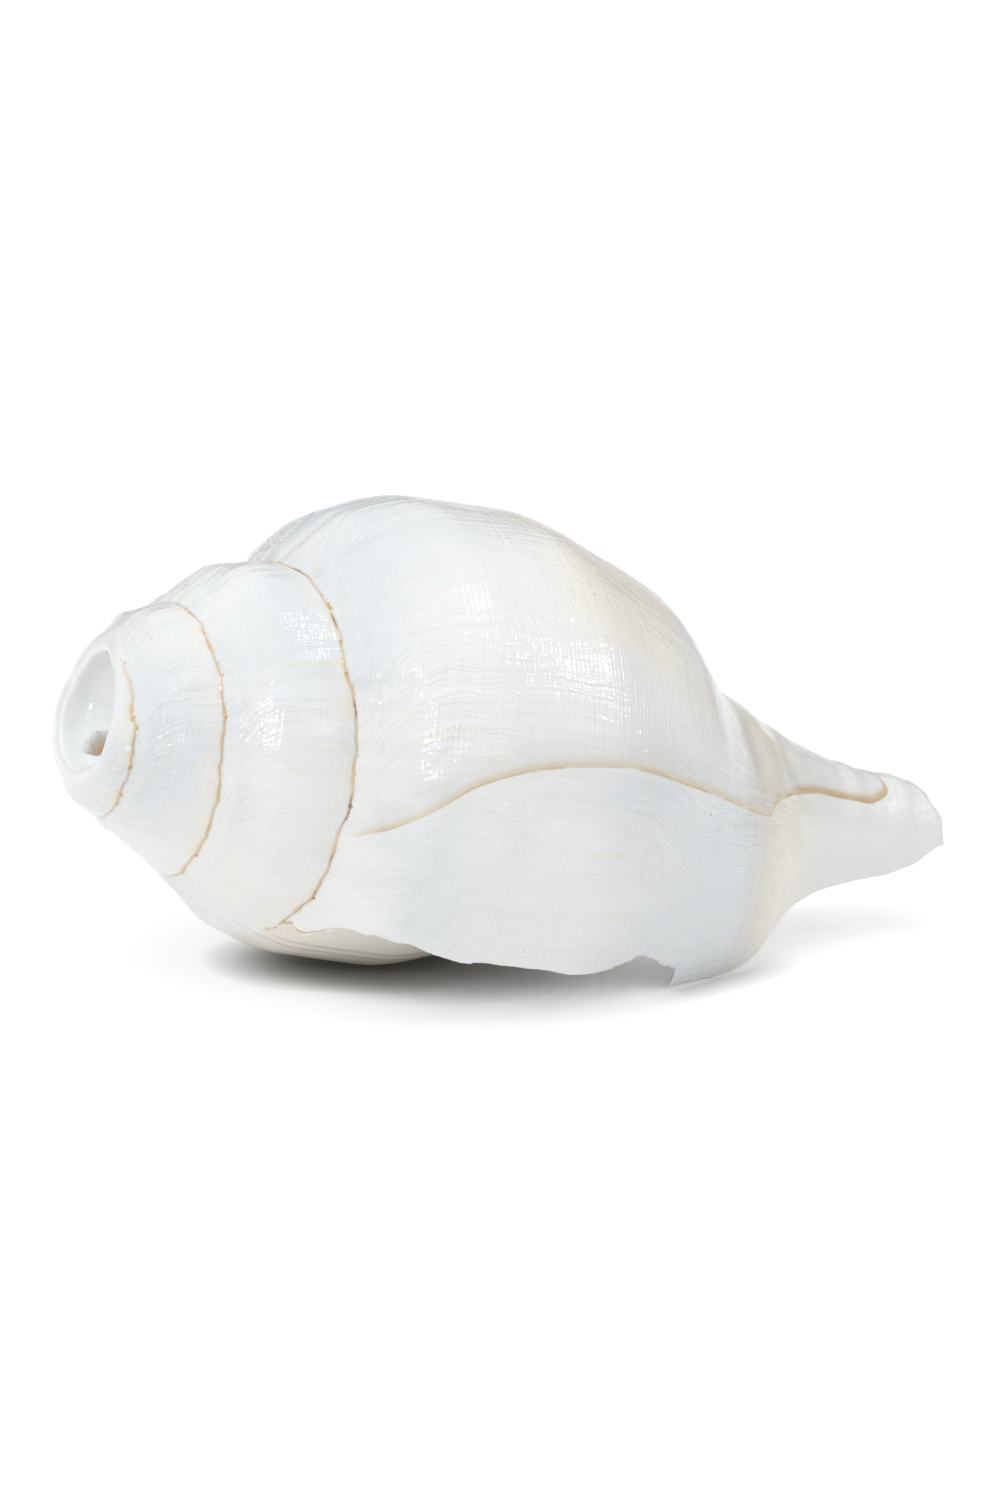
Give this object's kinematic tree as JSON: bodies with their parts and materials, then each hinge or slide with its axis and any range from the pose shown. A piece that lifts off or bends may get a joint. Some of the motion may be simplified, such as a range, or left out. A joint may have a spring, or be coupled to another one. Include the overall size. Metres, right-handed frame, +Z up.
{
  "type": "conch shell",
  "caption": "Heavy white spiral sea shell with its pointed end worn away to a round blow hole, a long slit-like opening underneath and a short canal end.",
  "frame": {"origin": "centre of the footprint's bounding box, on the surface the shell lies on", "axes": "+X from the worn blow-hole end towards the canal end, +Z up as the shell lies with its long opening down, -Y towards the lip side"},
  "size_m": [0.1614, 0.0898, 0.0805],
  "materials": {
    "shell_glaze": "gloss"
  },
  "bodies": {
    "root": {"shell": "shell_glaze"}
  },
  "joints": []
}
